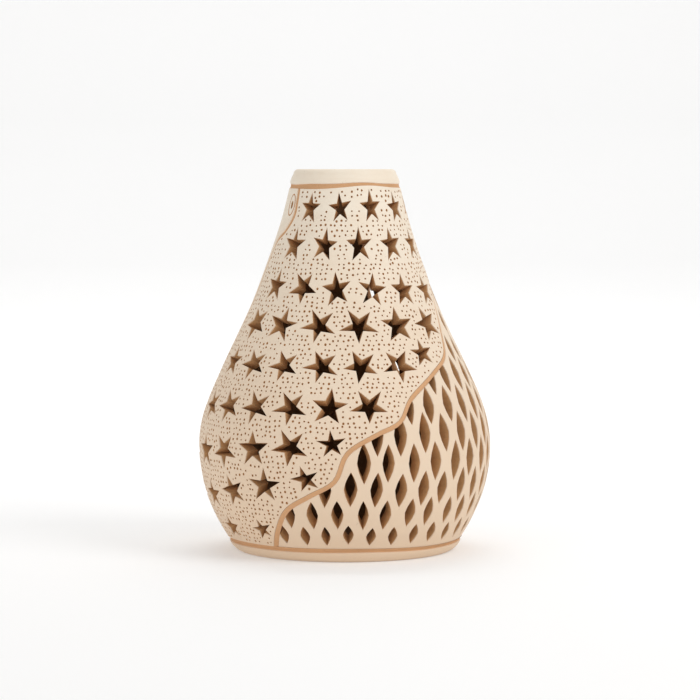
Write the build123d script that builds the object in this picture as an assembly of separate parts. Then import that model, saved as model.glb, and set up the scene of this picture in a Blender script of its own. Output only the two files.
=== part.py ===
from build123d import *
import math
import os

os.makedirs("parts", exist_ok=True)

# Pierced pear-shaped clay vase. Millimetres, +Z up, the base centre at the
# origin, the front towards -Y. Angles on the body run from the front (0 deg)
# towards +X (90 deg) and go round to the back (180 deg).

# ---- overall sizes ---------------------------------------------------------
HEIGHT = 180.0
WALL = 7.2                 # clay thickness measured level, belly
MOUTH_R = 19.5             # straight throat inside the collar
FLOOR_R = 46.0             # floor slab, inside the foot ring
FLOOR_LIFT = 1.2           # the floor stands clear of the table
FOOT_TOP = 4.8             # top of the smooth foot band
WALL_BOTTOM = 6.6          # top of the cut line above the foot
WALL_TOP = 171.4           # underside of the cut line below the collar
COLLAR_BOTTOM = 173.0
NECK_LEVEL = 135.3         # the field walls are divided here, between two rows of stars
LIP_DROP = 2.2             # height of the rounded lip
LINE_WIDTH = 2.3           # slip cut away along a boundary, belly
LINE_SINK = 0.45           # how far a cut line lies below the slip
LATTICE_SINK = 0.45        # the lattice lies below the star field
LAYER_IN = 12.0            # a cutter reaches this far below the outer skin
LAYER_OUT = 4.0            # and this far above it
THIN_LINE = 0.8            # width of the figure's lines over LINE_WIDTH
CORE_R, REACH_R = 12.0, 90.0           # a line is cut from inside the hollow to outside the belly
CRUMB = 3.0                # largest loose crumb, in mm3, that a cut may leave
LIP_INSET = 1.5            # the lip starts to round this far in from the collar's side
COLLAR_STEP = 0.4          # the collar stands back from the wall's top edge
BASE_INSET = 1.5           # the foot rests on a face that ends this far inside its outline
FOOT_KNEE, KNEE_INSET = 2.4, 1.3       # height and inset where the foot band turns upright

# outer profile of the body: (height, radius)
BODY = [(0, 50.5), (2, 53.3), (6.6, 55.8), (14, 60.2), (25.5, 65.4), (36, 68.1), (48, 69.4), (60, 68.4),
        (71, 65.2), (86, 58.6), (101.5, 51.2), (117, 44.1), (132, 38.2), (147, 33.0), (160, 29.0),
        (171.4, 26.2)]

# ---- boundaries between the carved fields: (degrees, height) ----------------
# star field | lattice field, climbs from the front foot round to the back
WAVE = [(-38, 0), (-31, 14), (-24, 25), (-14, 32), (-4, 39), (1, 52), (12, 60), (22, 65.5), (29, 76),
        (44, 86), (58, 94), (66, 106), (77, 121), (90, 131), (104, 137), (116, 148), (126, 160), (134, 180)]
# star field | figure field, falls from the collar round the left side
FIGURE_FRONT = [(-56, 180), (-54, 166), (-54, 158), (-62, 151), (-73, 146), (-77, 136), (-80, 118), (-86, 98),
                (-93, 76), (-98, 54), (-103, 30), (-106, 0)]
# figure field | lattice field, on the back
FIGURE_BACK = [(-160, 180), (-162, 160), (-172, 140), (-188, 118), (-200, 96), (-206, 74), (-208, 52),
               (-209, 30), (-210, 0)]

# ---- cut-outs ----------------------------------------------------------------
# star rows: height, rise per star, half width and tip height of a star, angle of the first star and pitch in
# degrees, then how far each star on the front is turned
STAR_ROWS = [(162.0, 0.0, 5.6, 8.0, -35.0, 30.0, (0, 8, 3, 6)),
             (145.0, 0.0, 6.6, 8.8, -45.0, 28.3, (0, -5, 0, 3, 0)),
             (126.0, -0.5, 7.2, 8.6, -52.0, 23.3, (-4, 180, 8, -10, 0, 5)),
             (108.5, 0.0, 9.1, 9.0, -60.0, 22.6, (170, -12, 171, 175, 0, 15)),
             (90.5, 0.0, 8.8, 8.3, -67.0, 18.6, (5, 170, 171, 170, 168, 182, 5)),
             (70.5, 0.5, 9.1, 8.5, -72.0, 16.4, (168, 168, 170, 177, -5, 176)),
             (49.0, 1.8, 9.3, 8.8, -70.0, 16.2, (0, 180, 3, 175, 8)),
             (28.5, 3.8, 9.0, 8.0, -68.0, 17.6, (0, 20, 0, 18)),
             (13.4, 1.4, 7.6, 7.0, -61.5, 22.6, (0, 12))]
LONE_STARS = [(41.3, 95.7, 7.3, 7.0, 4)]     # one star that stands above the end of its row, as in star_list
HIDDEN_TURNS = (0, 174, -8, 6, 186)    # turns of the stars further round
STAR_COLUMNS = range(-3, 12)           # columns tried in each row, counted from the first star
STAR_WAIST = 0.38          # inner corner radius over tip radius
STAR_LEVELS = ((2.0, 1.03), (-LAYER_IN, 0.80))      # (lift off the skin, size there)
STAR_MARGIN = 0.5         # skin left between a star tip and a cut line
FOOT_MARGIN = 0.9          # wall left between the lowest star tips and the foot line
STAR_LEAST = 0.60          # a star that must shrink more than this is left out
SHRINK_STEP = 0.03
# lattice rows: (height, number round the whole body, half-step offset, leaf height, leaf width)
LEAF_ROWS = [(12.9, 36, 0, 10.5, 4.6), (23.2, 36, 1, 14.5, 5.3), (34.8, 36, 0, 16.0, 5.9),
             (47.2, 36, 1, 18.3, 6.1), (60.0, 36, 0, 18.8, 6.1), (72.8, 36, 1, 18.5, 5.8),
             (85.2, 36, 0, 17.5, 5.3), (97.0, 36, 1, 15.0, 4.5), (109.0, 24, 0, 13.0, 5.4),
             (120.6, 24, 1, 16.5, 5.3), (132.0, 24, 0, 16.0, 4.6), (143.0, 24, 1, 14.5, 3.9),
             (154.0, 16, 0, 11.0, 4.2), (163.6, 16, 1, 10.5, 3.8)]
LEAF_PHASE = 2.0           # degrees, turns the whole lattice
LEAF_SHARE = 0.3           # a leaf with less than this share inside the lattice is left out
LEAF_SAMPLES = 11          # points tried along each leaf
EYE_ANGLE, EYE_HEIGHT = -62.0, 163.5
EYE_W, EYE_H = 2.2, 4.2


def body_radius(z):
    """Radius of the outer skin at height z, by a smooth curve through BODY."""
    pts = BODY
    z = min(max(z, pts[0][0]), pts[-1][0])
    for i in range(len(pts) - 1):
        (z0, r0), (z1, r1) = pts[i], pts[i + 1]
        if z <= z1:
            za, ra = pts[max(i - 1, 0)]
            zb, rb = pts[min(i + 2, len(pts) - 1)]
            m0 = (r1 - ra) / (z1 - za)
            m1 = (rb - r0) / (zb - z0)
            h = z1 - z0
            t = (z - z0) / h
            return ((2 * t**3 - 3 * t**2 + 1) * r0 + (t**3 - 2 * t**2 + t) * h * m0
                    + (3 * t**2 - 2 * t**3) * r1 + (t**3 - t**2) * h * m1)
    return pts[-1][1]


def body_slope(z):
    """Change of radius over one millimetre of height."""
    return body_radius(z + 0.5) - body_radius(z - 0.5)


def polar(radius, degrees, z):
    a = math.radians(degrees)
    return (radius * math.sin(a), -radius * math.cos(a), z)


def skin_plane(degrees, z, lift=0.0):
    """Plane on the outer skin: x level, y up the skin, z straight out of it."""
    a = math.radians(degrees)
    s = body_slope(z)
    n = Vector(math.sin(a), -math.cos(a), -s).normalized()
    p = Vector(*polar(body_radius(z), degrees, z)) + n * lift
    return Plane(origin=p, x_dir=Vector(math.cos(a), math.sin(a), 0), z_dir=n)


def curve_points(knots, count=90):
    """Even points (degrees, height) on a smooth curve through the knots."""
    out = []
    n = len(knots)
    for i in range(n - 1):
        p0, p1, p2, p3 = knots[max(i - 1, 0)], knots[i], knots[i + 1], knots[min(i + 2, n - 1)]
        steps = max(2, count // (n - 1))
        for k in range(steps):
            t = k / steps
            out.append(tuple(0.5 * (2 * p1[j] + (p2[j] - p0[j]) * t
                                    + (2 * p0[j] - 5 * p1[j] + 4 * p2[j] - p3[j]) * t**2
                                    + (3 * p1[j] - p0[j] - 3 * p2[j] + p3[j]) * t**3) for j in (0, 1)))
    out.append(tuple(float(v) for v in knots[-1]))
    return out


def gap_to_curve(curve, degrees, z):
    """Shortest way along the skin from a point to a boundary."""
    r = body_radius(z)
    best = 1e9
    for i in range(len(curve) - 1):
        ax, ay = math.radians(curve[i][0] - degrees) * r, curve[i][1] - z
        bx, by = math.radians(curve[i + 1][0] - degrees) * r, curve[i + 1][1] - z
        dx, dy = bx - ax, by - ay
        t = min(1.0, max(0.0, -(ax * dx + ay * dy) / (dx * dx + dy * dy + 1e-9)))
        best = min(best, math.hypot(ax + t * dx, ay + t * dy))
    return best


def gap_to_lines(degrees, z):
    return min(gap_to_curve(c, degrees, z) for c in (wave, figure_front, figure_back))


def angle_on(curve, z):
    """Angle of a boundary that climbs all the way, at height z."""
    pts = sorted(curve, key=lambda p: p[1])
    for a, b in zip(pts, pts[1:]):
        if a[1] <= z <= b[1]:
            return a[0] + (b[0] - a[0]) * (z - a[1]) / max(b[1] - a[1], 1e-6)
    return pts[-1][0]


wave = curve_points(WAVE)
figure_front = curve_points(FIGURE_FRONT)
figure_back = curve_points(FIGURE_BACK)


def field_of(degrees, z):
    """Which carved field a point of the skin lies in."""
    d = degrees
    w, f, b = angle_on(wave, z), angle_on(figure_front, z), angle_on(figure_back, z)
    while d < b:
        d += 360.0
    while d >= b + 360.0:
        d -= 360.0
    if d < f:
        return "figure"
    if d < w:
        return "star"
    return "lattice"


# ---- body of revolution --------------------------------------------------------
def profile_edge(offset, z0, z1):
    zs = [z0] + [z for z, _ in BODY if z0 + 1.5 < z < z1 - 1.5] + [z1]
    return Spline([(body_radius(z) - offset, 0, z) for z in zs])


def revolved(z0, z1, outer_off):
    """Wall between two heights, its outer face sunk by outer_off."""
    outer = profile_edge(outer_off, z0, z1)
    inner = profile_edge(WALL, z0, z1)
    lid = Line(inner @ 1, outer @ 1)
    sole = Line(inner @ 0, outer @ 0)
    return revolve(make_face(Wire([outer, lid, inner, sole])), Axis.Z)


def ribbon(curve, width):
    """Upright strip that follows a boundary right through the wall."""
    left, right = [], []
    for i in range(0, len(curve), 4):
        a, b = curve[max(i - 1, 0)], curve[min(i + 1, len(curve) - 1)]
        d, z = curve[i]
        r = body_radius(z)
        ux, uy = math.radians(b[0] - a[0]) * r, b[1] - a[1]
        n = math.hypot(ux, uy)
        half = width * 0.5
        step = math.degrees(1.0 / r)
        left.append((d - uy / n * half * step, z + ux / n * half))
        right.append((d + uy / n * half * step, z - ux / n * half))
    wires = []
    for r in (CORE_R, REACH_R):
        a = Spline([polar(r, *p) for p in left])
        b = Spline([polar(r, *p) for p in right])
        wires.append(Wire([a, Line(a @ 1, b @ 1), b, Line(a @ 0, b @ 0)]))
    return Solid.make_loft(wires, ruled=True)


def star_cutter(degrees, z, wide, tall, turn):
    """Five-pointed prism along the skin's normal, narrowing inwards."""
    wires = []
    for lift, scale in STAR_LEVELS:
        plane = skin_plane(degrees, z, lift)
        pts = []
        for k in range(10):
            rad = scale * (1.0 if k % 2 == 0 else STAR_WAIST)
            a = math.radians(90 + turn + 36 * k)
            corner = Vector(wide * rad * math.cos(a), tall * rad * math.sin(a), 0)
            pts.append(plane.from_local_coords(corner))
        wires.append(Wire.make_polygon(pts, close=True))
    return Solid.make_loft(wires, ruled=True)


def leaf_cutter(degrees, z, height, width):
    plane = skin_plane(degrees, z, -LAYER_IN)
    top, low = (0, height * 0.5), (0, -height * 0.5)
    side = width * 0.5
    face = make_face(ThreePointArc(top, (side, 0), low) + ThreePointArc(low, (-side, 0), top))
    return extrude(plane * face, amount=LAYER_IN + LAYER_OUT)


def fitted_star(d, z, wide, tall, turn):
    """The star, shrunk until its tips clear the lines and the foot. None if it would shrink too far."""
    mm = math.degrees(1.0 / body_radius(z))
    shrink = 1.0
    while shrink > STAR_LEAST:
        tips = [math.radians(90 + turn + 72 * j) for j in range(5)]
        tips = [(d + shrink * wide * math.cos(a) * mm, z + shrink * tall * math.sin(a)) for a in tips]
        clear = LINE_WIDTH * 0.5 + STAR_MARGIN
        foot_clear = min(height for _, height in tips) > WALL_BOTTOM + FOOT_MARGIN
        if foot_clear and all(field_of(*p) == "star" and gap_to_lines(*p) > clear for p in tips):
            return d, z, shrink * wide, shrink * tall, turn
        shrink -= SHRINK_STEP
    return None


def star_list():
    """(angle, height, half width, tip height, turn) of every star that fits its field."""
    wanted = list(LONE_STARS)
    for z0, rise, wide, tall, first, pitch, turns in STAR_ROWS:
        for k in STAR_COLUMNS:
            turn = turns[k] if 0 <= k < len(turns) else HIDDEN_TURNS[k % len(HIDDEN_TURNS)]
            wanted.append((first + k * pitch, z0 + min(max(k, 0), len(turns)) * rise, wide, tall, turn))
    found = [fitted_star(*star) for star in wanted if field_of(*star[:2]) == "star"]
    return [star for star in found if star]


def leaf_list():
    """(angle, height, leaf height, leaf width) of every leaf in the lattice."""
    out = []
    for z, count, half, height, width in LEAF_ROWS:
        for k in range(count):
            d = LEAF_PHASE + (k + 0.5 * half) * 360.0 / count - 180.0
            samples = [field_of(d, z + (s / (LEAF_SAMPLES - 1) - 0.5) * height) for s in range(LEAF_SAMPLES)]
            if samples.count("lattice") / LEAF_SAMPLES > LEAF_SHARE and "figure" not in samples[2:9]:
                out.append((d, z, height, width))
    return out


# ---- build ------------------------------------------------------------------------
def solid_of(shape):
    """The single solid of a cut. Crumbs up to CRUMB are left out, and a larger one is an error."""
    solids = sorted(shape.solids(), key=lambda s: s.volume)
    for loose in solids[:-1]:
        if loose.volume > CRUMB:
            raise ValueError(f"a loose piece of {loose.volume:.1f} mm3 at {loose.center()}")
    return solids[-1]


def slab(low, high):
    """Block that covers the whole body between two heights."""
    return Pos(0, 0, 0.5 * (low + high)) * Box(2 * REACH_R, 2 * REACH_R, high - low)


def ring(points):
    """Closed ring from (radius, height) corners."""
    return revolve(make_face(Polyline(*[(r, 0, z) for r, z in points], close=True)), Axis.Z)


shell = revolved(WALL_BOTTOM, WALL_TOP, 0.0)
recessed = revolved(WALL_BOTTOM, WALL_TOP, LINE_SINK)
ribbons = {
    "wave_line": ribbon(wave, LINE_WIDTH),
    "figure_front_line": ribbon(figure_front, LINE_WIDTH * THIN_LINE),
    "figure_back_line": ribbon(figure_back, LINE_WIDTH * THIN_LINE),
}
nodes = {name: solid_of(recessed.intersect(r)) for name, r in ribbons.items()}
for piece in shell.cut(*ribbons.values()).solids():
    c = piece.center()
    nodes[field_of(math.degrees(math.atan2(c.X, -c.Y)), c.Z) + "_field_wall"] = piece

# the lattice wall stays whole; its leaves are cut through the sunk skin
sunk = revolved(WALL_BOTTOM, WALL_TOP, LATTICE_SINK)
lattice = solid_of(nodes["lattice_field_wall"].intersect(sunk))
nodes["lattice_field_wall"] = solid_of(lattice.cut(*[leaf_cutter(*leaf) for leaf in leaf_list()]))

# the other two walls are divided while still plain, and their openings are cut afterwards
cutters = {
    "star": [star_cutter(*star) for star in star_list()],
    "figure": [leaf_cutter(EYE_ANGLE, EYE_HEIGHT, EYE_H, EYE_W)],
}
for field, tools in cutters.items():
    wall = nodes.pop(field + "_field_wall")
    boxes = [(tool, tool.bounding_box()) for tool in tools]
    for part, low, high in (("field", 0, NECK_LEVEL), ("neck", NECK_LEVEL, HEIGHT)):
        block = solid_of(wall.intersect(slab(low, high)))
        near = [tool for tool, box in boxes if box.min.Z < high and box.max.Z > low]
        nodes[f"{field}_{part}_wall"] = solid_of(block.cut(*near)) if near else block

# collar: rounded lip over a straight throat
lip_r = body_radius(WALL_TOP) - COLLAR_STEP
lip_side = (lip_r - LIP_INSET, HEIGHT - LIP_DROP)
lip_top = (0.5 * (MOUTH_R + lip_r) - 0.6, HEIGHT)
throat_top = (MOUTH_R, HEIGHT - LIP_DROP)
with BuildPart() as collar:
    with BuildSketch(Plane.XZ):
        with BuildLine():
            Polyline(lip_side, (lip_r, COLLAR_BOTTOM + 0.2), (lip_r - 0.3, COLLAR_BOTTOM),
                     (MOUTH_R, COLLAR_BOTTOM), throat_top)
            Spline([throat_top, lip_top], tangents=[(0, 1), (1, 0)])
            Spline([lip_top, lip_side], tangents=[(1, 0), (0.3, -1)])
        make_face()
    revolve(axis=Axis.Z)
nodes["neck_collar"] = collar.part.solids()[0]
neck_r = body_radius(WALL_TOP) - LINE_SINK
nodes["neck_line"] = ring([(MOUTH_R, WALL_TOP), (neck_r, WALL_TOP), (neck_r - COLLAR_STEP, COLLAR_BOTTOM),
                           (MOUTH_R, COLLAR_BOTTOM)])

# foot: smooth rounded band, cut line above it, floor slab inside
foot_r = body_radius(FOOT_TOP)
base_edge = (body_radius(0) - BASE_INSET, 0)
knee = (foot_r - KNEE_INSET, FOOT_KNEE)
with BuildPart() as foot:
    with BuildSketch(Plane.XZ):
        with BuildLine():
            Line((FLOOR_R, 0), base_edge)
            Spline([base_edge, knee], tangents=[(1, 0), (0.45, 1)])
            Spline([knee, (foot_r, FOOT_TOP)], tangents=[(0.45, 1), (0.25, 1)])
            Polyline((foot_r, FOOT_TOP), (FLOOR_R, FOOT_TOP), (FLOOR_R, 0))
        make_face()
    revolve(axis=Axis.Z)
nodes["foot_ring"] = foot.part.solids()[0]
line_top_r = body_radius(WALL_BOTTOM) - LINE_SINK
nodes["foot_line"] = ring([(FLOOR_R, FOOT_TOP), (foot_r - LINE_SINK, FOOT_TOP), (line_top_r, WALL_BOTTOM),
                           (FLOOR_R, WALL_BOTTOM)])
floor_middle = 0.5 * (FLOOR_LIFT + WALL_BOTTOM)
nodes["floor_slab"] = Pos(0, 0, floor_middle) * Cylinder(FLOOR_R, WALL_BOTTOM - FLOOR_LIFT)

for name, shape in nodes.items():
    export_step(shape, f"parts/{name}.step")
    box = shape.bounding_box()
    print(f"{name}: volume {shape.volume:.0f} mm3, z {box.min.Z:.1f} to {box.max.Z:.1f}, "
          f"valid {shape.is_valid}")
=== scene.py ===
import math
import random

import bmesh
import bpy
from mathutils import Matrix, Vector


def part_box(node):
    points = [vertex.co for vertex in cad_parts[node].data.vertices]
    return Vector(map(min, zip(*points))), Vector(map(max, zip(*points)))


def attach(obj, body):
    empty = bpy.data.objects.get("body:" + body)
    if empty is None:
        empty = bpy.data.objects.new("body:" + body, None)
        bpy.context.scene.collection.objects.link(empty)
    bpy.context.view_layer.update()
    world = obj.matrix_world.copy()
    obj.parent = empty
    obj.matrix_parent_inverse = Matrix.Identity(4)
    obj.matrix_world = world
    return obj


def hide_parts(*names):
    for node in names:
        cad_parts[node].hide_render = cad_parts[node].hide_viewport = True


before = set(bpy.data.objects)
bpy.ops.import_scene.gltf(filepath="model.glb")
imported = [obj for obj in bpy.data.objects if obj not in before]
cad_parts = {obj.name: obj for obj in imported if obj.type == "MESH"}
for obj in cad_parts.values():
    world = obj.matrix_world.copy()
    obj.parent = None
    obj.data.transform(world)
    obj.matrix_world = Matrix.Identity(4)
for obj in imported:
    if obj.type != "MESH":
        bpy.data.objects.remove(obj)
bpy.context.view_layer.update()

bl_info = {
    "name": "Pierced Clay Vase",
    "version": (1, 0, 0),
    "blender": (4, 5, 0),
    "location": "3D View > Sidebar > Clay Vase",
    "description": "Models a slipped clay vase with star cut-outs, pinpricks and a leaf lattice",
    "category": "Add Mesh",
}

# ---- layout, in millimetres and degrees --------------------------------------
# Angles run from the front (-Y) towards +X and on round the back.
MM = 0.001
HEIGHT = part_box("neck_collar")[1][2] / MM
WALL = 7.2                 # clay thickness
FLOOR_R = 46.0
FLOOR_LIFT = 1.2
FOOT_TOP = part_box("foot_ring")[1][2] / MM
WALL_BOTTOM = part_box("star_field_wall")[0][2] / MM
WALL_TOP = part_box("star_neck_wall")[1][2] / MM
COLLAR_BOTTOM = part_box("neck_collar")[0][2] / MM
MOUTH_R = 19.5
CUT_DEPTH = 12.5           # cutters reach this far below the skin

BODY = [(0, 50.5), (2, 53.3), (6.6, 55.8), (14, 60.2), (25.5, 65.4), (36, 68.1), (48, 69.4), (60, 68.4),
        (71, 65.2), (86, 58.6), (101.5, 51.2), (117, 44.1), (132, 38.2), (147, 33.0), (160, 29.0),
        (171.4, 26.2)]
# star field | lattice field
WAVE = [(-38, 0), (-31, 14), (-24, 25), (-14, 32), (-4, 39), (1, 52), (12, 60), (22, 65.5), (29, 76),
        (44, 86), (58, 94), (66, 106), (77, 121), (90, 131), (104, 137), (116, 148), (126, 160), (134, 180)]
# star field | figure field
FIGURE_FRONT = [(-56, 180), (-54, 166), (-54, 158), (-62, 151), (-73, 146), (-77, 136), (-80, 118), (-86, 98),
                (-93, 76), (-98, 54), (-103, 30), (-106, 0)]
# figure field | lattice field
FIGURE_BACK = [(-160, 180), (-162, 160), (-172, 140), (-188, 118), (-200, 96), (-206, 74), (-208, 52),
               (-209, 30), (-210, 0)]
# star rows: height, rise per star, half width and tip height of a star, angle of the first star and pitch in
# degrees, then how far each star on the front is turned
STAR_ROWS = [(162.0, 0.0, 5.6, 8.0, -35.0, 30.0, (0, 8, 3, 6)),
             (145.0, 0.0, 6.6, 8.8, -45.0, 28.3, (0, -5, 0, 3, 0)),
             (126.0, -0.5, 7.2, 8.6, -52.0, 23.3, (-4, 180, 8, -10, 0, 5)),
             (108.5, 0.0, 9.1, 9.0, -60.0, 22.6, (170, -12, 171, 175, 0, 15)),
             (90.5, 0.0, 8.8, 8.3, -67.0, 18.6, (5, 170, 171, 170, 168, 182, 5)),
             (70.5, 0.5, 9.1, 8.5, -72.0, 16.4, (168, 168, 170, 177, -5, 176)),
             (49.0, 1.8, 9.3, 8.8, -70.0, 16.2, (0, 180, 3, 175, 8)),
             (28.5, 3.8, 9.0, 8.0, -68.0, 17.6, (0, 20, 0, 18)),
             (13.4, 1.4, 7.6, 7.0, -61.5, 22.6, (0, 12))]
# stars out of line with every row: angle, height, half width, tip height, turn
LONE_STARS = [(41.3, 95.7, 7.3, 7.0, 4)]
HIDDEN_TURNS = (0, 174, -8, 6, 186)    # turns of the stars further round
STAR_COLUMNS = range(-3, 12)           # columns tried in each row, counted from the first star
STAR_WAIST = 0.38          # inner corner radius over tip radius
STAR_MARGIN = 0.5          # skin left between a star tip and a cut line
FOOT_MARGIN = 0.9          # wall left between the lowest star tips and the foot line
STAR_LEAST = 0.60          # a star that must shrink more than this is left out
SHRINK_STEP = 0.03
# lattice rows: (height, number round the whole body, half-step offset, leaf height, leaf width)
LEAF_ROWS = [(12.9, 36, 0, 10.5, 4.6), (23.2, 36, 1, 14.5, 5.3), (34.8, 36, 0, 16.0, 5.9),
             (47.2, 36, 1, 18.3, 6.1), (60.0, 36, 0, 18.8, 6.1), (72.8, 36, 1, 18.5, 5.8),
             (85.2, 36, 0, 17.5, 5.3), (97.0, 36, 1, 15.0, 4.5), (109.0, 24, 0, 13.0, 5.4),
             (120.6, 24, 1, 16.5, 5.3), (132.0, 24, 0, 16.0, 4.6), (143.0, 24, 1, 14.5, 3.9),
             (154.0, 16, 0, 11.0, 4.2), (163.6, 16, 1, 10.5, 3.8)]
LEAF_PHASE = 2.0           # degrees, turns the whole lattice
LEAF_SHARE = 0.3           # a leaf with less than this share inside the lattice is left out
LEAF_SAMPLES = 11          # points tried along each leaf
EYE = (-62.0, 163.5)       # angle and height
PUPIL = (1.0, 2.0)         # half width and half height
EYE_RING = (2.5, 5.2)      # half width and half height
# the cut line at the neck rises in a hump on the right
HUMP_ANGLE, HUMP_SPREAD, HUMP_RISE = 27.0, 24.0, 1.1
STAR_TOOL_R = 8.0
LEAF_TOOL = (5.5, 15.0)    # width and height of the leaf tool before it is scaled
# unevenness left by the hand: (size, turns round the body, phase) waves at each level
NECK_LOW_WAVES = ((0.28, 2, 0.4), (0.16, 5, 1.1))
NECK_HIGH_WAVES = ((0.18, 3, 2.0), (0.10, 7, 0.2))
FOOT_LOW_WAVES = ((0.16, 3, 1.7), (0.12, 6, 0.5))
FOOT_HIGH_WAVES = ((0.26, 2, 2.6), (0.15, 5, 0.9))
SWELL_WAVES = ((0.16, 2, 0.3), (0.10, 3, 1.9))
SKIN_BAND = 1.5            # the wall is slipped skin down to this depth
LINE_EDGE = 0.42           # depth of the worn edge beside a line
STAR_EDGE, LEAF_EDGE, PUPIL_EDGE = 0.41, 0.86, 0.31      # and round each kind of cut
CRUMB_FACES = 50           # a loose bit of wall with fewer faces is thrown away
SMOOTH_ANGLE = 35          # degrees; a sharper edge stays crisp
LIP_DROP = 2.2             # height of the rounded lip
LIP_INSET = 1.5            # how far the lip draws in
COLLAR_STEP = 0.4          # how far the collar stands in from the wall
BASE_INSET = 1.5           # how far the resting face draws in
PRICK_SPAN = (-112.0, 140.0)             # degrees between which pinpricks are tried
PRICK_LINE_GAP, PRICK_STAR_GAP = 1.0, 1.0
PRICK_SKIP = 0.04          # share of the pinpricks that the hand misses

# ---- stage, in metres, watts and degrees ---------------------------------------
CAMERA_PLACE = (0.0, -1.32, 0.18)
CAMERA_TILT = 3.713        # below level
CAMERA_LENS, CAMERA_SENSOR, CAMERA_SHIFT = 143.4, 36.0, 0.0071
WORLD_STRENGTH = 0.60
PAPER_GLOW = 0.24
VASE_MIDDLE, BACKDROP = (0, 0, 0.09), (0, 2.6, 0.8)
# name, place, size, watts, tint, where it points
LIGHTS = (("key", (1.05, -0.7, 0.95), 0.9, 8.5, (1.0, 0.99, 0.975), VASE_MIDDLE),
          ("fill", (-0.9, -1.1, 0.35), 1.0, 3.2, (1.0, 0.985, 0.97), VASE_MIDDLE),
          ("back", (0.2, 1.1, 1.3), 1.4, 3.0, (1.0, 1.0, 1.0), VASE_MIDDLE),
          ("sweep", (0.0, 0.7, 2.0), 1.6, 24.0, (1.0, 1.0, 1.0), BACKDROP))


class VaseSizes(bpy.types.PropertyGroup):
    """Sizes of the hand work on the vase."""
    line_width: bpy.props.FloatProperty(
        name="Line width", description="Width of a band where the slip is cut away", default=2.3 * MM,
        unit="LENGTH")
    line_sink: bpy.props.FloatProperty(
        name="Line depth", description="How far the band drops on its lattice side", default=0.75 * MM,
        unit="LENGTH")
    lattice_sink: bpy.props.FloatProperty(
        name="Lattice depth", description="How far the lattice lies below the star field", default=0.45 * MM,
        unit="LENGTH")
    edge_round: bpy.props.FloatProperty(
        name="Worn edge", description="Width of the softened edge round each cut", default=0.32 * MM,
        unit="LENGTH")
    prick_width: bpy.props.FloatProperty(
        name="Pinprick width", description="Diameter of a pinprick at the skin", default=1.0 * MM,
        unit="LENGTH")
    prick_gap: bpy.props.FloatProperty(
        name="Pinprick spacing", description="Distance between neighbouring pinpricks", default=2.5 * MM,
        unit="LENGTH")
    spin_steps: bpy.props.IntProperty(
        name="Turning steps", description="Facets round the body", default=320, min=96, max=480)


class VaseColours(bpy.types.PropertyGroup):
    """Colours of the slip and of the clay under it."""
    slip: bpy.props.FloatVectorProperty(
        name="Slip", description="Cream slip on the outside", subtype="COLOR", size=3,
        default=(0.84, 0.76, 0.64), min=0.0, max=1.0)
    # the warm slip is also the colour of the painted shade towards the base
    slip_warm_and_base_shade: bpy.props.FloatVectorProperty(
        name="Warm slip", description="Slip where it is thin or handled", subtype="COLOR", size=3,
        default=(0.73, 0.53, 0.36), min=0.0, max=1.0)
    ochre: bpy.props.FloatVectorProperty(
        name="Ochre", description="Clay shown by the cut lines", subtype="COLOR", size=3,
        default=(0.66, 0.37, 0.19), min=0.0, max=1.0)
    cut_clay: bpy.props.FloatVectorProperty(
        name="Cut clay", description="Walls of the stars and leaves", subtype="COLOR", size=3,
        default=(0.62, 0.35, 0.16), min=0.0, max=1.0)
    # painted shade: the clay inside is made much darker than the cut clay, for the shade inside the pot
    inner_shaded_clay: bpy.props.FloatVectorProperty(
        name="Inner clay", description="Bare clay inside", subtype="COLOR", size=3,
        default=(0.29, 0.15, 0.07), min=0.0, max=1.0)


# ---- shape of the pot ----------------------------------------------------------
def body_radius(z):
    """Radius of the outer skin at height z."""
    z = min(max(z, BODY[0][0]), BODY[-1][0])
    for i in range(len(BODY) - 1):
        (z0, r0), (z1, r1) = BODY[i], BODY[i + 1]
        if z <= z1:
            za, ra = BODY[max(i - 1, 0)]
            zb, rb = BODY[min(i + 2, len(BODY) - 1)]
            m0, m1, h = (r1 - ra) / (z1 - za), (rb - r0) / (zb - z0), z1 - z0
            t = (z - z0) / h
            return ((2 * t**3 - 3 * t**2 + 1) * r0 + (t**3 - 2 * t**2 + t) * h * m0
                    + (3 * t**2 - 2 * t**3) * r1 + (t**3 - t**2) * h * m1)
    return BODY[-1][1]


def body_slope(z):
    return body_radius(z + 0.5) - body_radius(z - 0.5)


def skin_point(degrees, z, lift=0.0):
    """The point lift outside the outer skin, in metres."""
    a, s = math.radians(degrees), body_slope(z)
    n = 1.0 / math.hypot(1.0, s)
    r = body_radius(z) + lift * n
    return Vector((r * math.sin(a), -r * math.cos(a), z - lift * s * n)) * MM


def skin_depth(co):
    """(angle, height, level distance below the outer skin) of a point, in degrees and millimetres."""
    x, y, z = co[0] / MM, co[1] / MM, co[2] / MM
    return math.degrees(math.atan2(x, -y)), z, body_radius(z) - math.hypot(x, y)


def wave_sum(degrees, parts):
    """Sum of (size, turns round the body, phase) waves, the same again after a full turn."""
    return sum(size * math.sin(math.radians(turns * degrees) + phase) for size, turns, phase in parts)


def level_share(z, knots):
    """Straight-line reading of (height, value) knots."""
    for (z0, v0), (z1, v1) in zip(knots, knots[1:]):
        if z0 <= z <= z1:
            return v0 + (v1 - v0) * (z - z0) / (z1 - z0)
    return 0.0


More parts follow.
